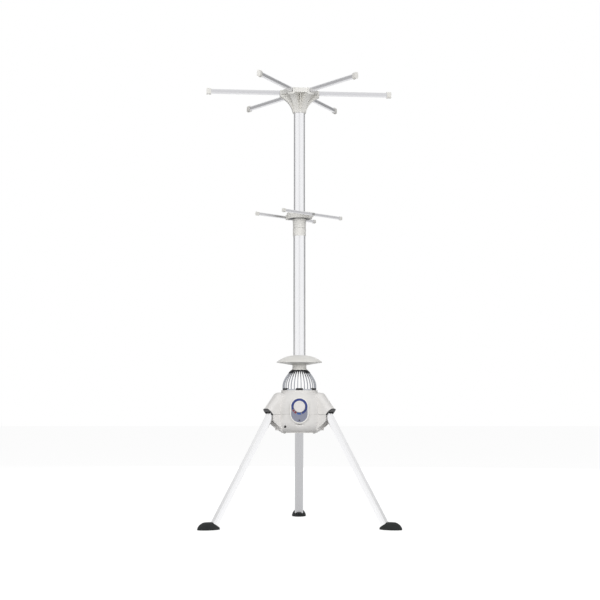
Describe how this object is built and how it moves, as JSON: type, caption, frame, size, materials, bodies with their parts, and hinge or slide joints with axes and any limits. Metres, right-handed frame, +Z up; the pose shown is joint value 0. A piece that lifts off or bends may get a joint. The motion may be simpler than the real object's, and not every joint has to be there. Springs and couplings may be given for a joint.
{
  "type": "portable clothes dryer",
  "caption": "Tripod stand with a warm-air fan heater in its body, a telescopic mast, a middle rail pair and a crown of folding hanging arms.",
  "frame": {"origin": "on the floor, on the axis of the mast", "axes": "+Z up along the mast, -Y the front with the control panel, +X the viewer's right"},
  "size_m": [0.6436, 0.654, 1.4406],
  "materials": {
    "cream_abs": "satin moulded ABS, warm white",
    "casing_abs": "satin moulded ABS, warm light grey",
    "mast_aluminium": "satin anodised",
    "rail_aluminium": "satin anodised",
    "leg_aluminium": "bright anodised",
    "black_rubber": "matt",
    "black_plastic": "satin",
    "panel_plastic": "gloss, grey blue",
    "knob_plastic": "satin, pale warm grey",
    "lens_plastic": "dark smoked",
    "cage_chrome": "bright",
    "pin_steel": "zinc plated",
    "sheet_steel": "plain sheet",
    "nylon": "natural nylon",
    "heater_aluminium": "plain",
    "filter_fabric": "non-woven",
    "component_plastic": "moulded"
  },
  "bodies": {
    "base": {"lower_mast": "mast_aluminium", "mast_socket": "cream_abs", "cage_ring": "black_plastic", "outlet_cage": "cage_chrome", "air_deflector": "cream_abs", "deflector_plate": "cream_abs", "upper_casing": "casing_abs", "lower_casing": "casing_abs", "control_panel": "panel_plastic", "panel_rim": "casing_abs", "indicator_lens": "lens_plastic", "timer_switch": "component_plastic", "leg_socket_1": "black_plastic", "leg_socket_2": "black_plastic", "leg_socket_3": "black_plastic", "leg_pins": "pin_steel", "motor": "sheet_steel", "motor_bracket": "sheet_steel", "heater_frame": "sheet_steel", "heater_element": "heater_aluminium", "thermal_cutout": "component_plastic", "intake_grille": "casing_abs", "intake_filter": "filter_fabric", "grille_screws": "pin_steel", "cord_inlet": "black_plastic", "lock_socket": "cream_abs"},
    "mast": {"upper_mast": "mast_aluminium", "mast_bush": "nylon", "top_hub": "cream_abs", "hub_cover": "cream_abs", "arm_pins": "pin_steel"},
    "lock_ring": {"lock_ring": "cream_abs"},
    "rail_carrier": {"rail_carrier": "cream_abs", "carrier_washer": "black_plastic", "rail_pivots": "pin_steel"},
    "rail_1": {"rail_1": "rail_aluminium", "rail_caps_1": "cream_abs"},
    "rail_2": {"rail_2": "rail_aluminium", "rail_caps_2": "cream_abs"},
    "arm_1": {"arm_1": "rail_aluminium", "arm_cap_1": "cream_abs"},
    "arm_2": {"arm_2": "rail_aluminium", "arm_cap_2": "cream_abs"},
    "arm_3": {"arm_3": "rail_aluminium", "arm_cap_3": "cream_abs"},
    "arm_4": {"arm_4": "rail_aluminium", "arm_cap_4": "cream_abs"},
    "arm_5": {"arm_5": "rail_aluminium", "arm_cap_5": "cream_abs"},
    "arm_6": {"arm_6": "rail_aluminium", "arm_cap_6": "cream_abs"},
    "leg_1": {"leg_1": "leg_aluminium", "foot_1": "black_rubber"},
    "leg_2": {"leg_2": "leg_aluminium", "foot_2": "black_rubber"},
    "leg_3": {"leg_3": "leg_aluminium", "foot_3": "black_rubber"},
    "timer_knob": {"timer_knob": "knob_plastic"},
    "fan": {"fan": "nylon"}
  },
  "joints": [
    {"name": "mast_slide", "type": "slide", "parent": "base", "child": "mast", "axis": [0, 0, 1], "range_m": [-0.275, 0]},
    {"name": "lock_turn", "type": "hinge", "parent": "base", "child": "lock_ring", "pos_m": [0, 0, 0.98], "axis": [0, 0, 1], "range_deg": [0, 60]},
    {"name": "carrier_swivel", "type": "hinge", "parent": "base", "child": "rail_carrier", "pos_m": [0, 0, 1.0165], "axis": [0, 0, 1], "continuous": true},
    {"name": "rail_1_turn", "type": "hinge", "parent": "rail_carrier", "child": "rail_1", "pos_m": [0.04388, -0.04092, 1.0165], "axis": [0.7314, -0.682, 0], "range_deg": [0, 90]},
    {"name": "rail_2_turn", "type": "hinge", "parent": "rail_carrier", "child": "rail_2", "pos_m": [-0.04388, 0.04092, 1.0165], "axis": [-0.7314, 0.682, 0], "range_deg": [0, 90]},
    {"name": "arm_1_fold", "type": "hinge", "parent": "mast", "child": "arm_1", "pos_m": [0.03209, -0.04467, 1.43], "axis": [-0.8121, -0.5835, 0], "range_deg": [0, 90]},
    {"name": "arm_2_fold", "type": "hinge", "parent": "mast", "child": "arm_2", "pos_m": [0.05473, 0.00546, 1.43], "axis": [0.0993, -0.9951, 0], "range_deg": [0, 90]},
    {"name": "arm_3_fold", "type": "hinge", "parent": "mast", "child": "arm_3", "pos_m": [0.02263, 0.05013, 1.43], "axis": [0.9114, -0.4115, 0], "range_deg": [0, 90]},
    {"name": "arm_4_fold", "type": "hinge", "parent": "mast", "child": "arm_4", "pos_m": [-0.03209, 0.04467, 1.43], "axis": [0.8121, 0.5835, 0], "range_deg": [0, 90]},
    {"name": "arm_5_fold", "type": "hinge", "parent": "mast", "child": "arm_5", "pos_m": [-0.05473, -0.00546, 1.43], "axis": [-0.0993, 0.9951, 0], "range_deg": [0, 90]},
    {"name": "arm_6_fold", "type": "hinge", "parent": "mast", "child": "arm_6", "pos_m": [-0.02263, -0.05013, 1.43], "axis": [-0.9114, 0.4115, 0], "range_deg": [0, 90]},
    {"name": "leg_1_fold", "type": "hinge", "parent": "base", "child": "leg_1", "pos_m": [0.07863, -0.04485, 0.39055], "axis": [0.4955, 0.8686, 0], "range_deg": [0, 30.4]},
    {"name": "leg_2_fold", "type": "hinge", "parent": "base", "child": "leg_2", "pos_m": [-0.00047, 0.09052, 0.39055], "axis": [-1, -0.0052, 0], "range_deg": [0, 30.4]},
    {"name": "leg_3_fold", "type": "hinge", "parent": "base", "child": "leg_3", "pos_m": [-0.07816, -0.04567, 0.39055], "axis": [0.5045, -0.8634, 0], "range_deg": [0, 30.4]},
    {"name": "knob_turn", "type": "hinge", "parent": "base", "child": "timer_knob", "pos_m": [0, -0.0913, 0.3857], "axis": [0, 1, 0], "range_deg": [0, 300]},
    {"name": "fan_spin", "type": "hinge", "parent": "base", "child": "fan", "pos_m": [0, 0, 0.358], "axis": [0, 0, 1], "continuous": true}
  ]
}
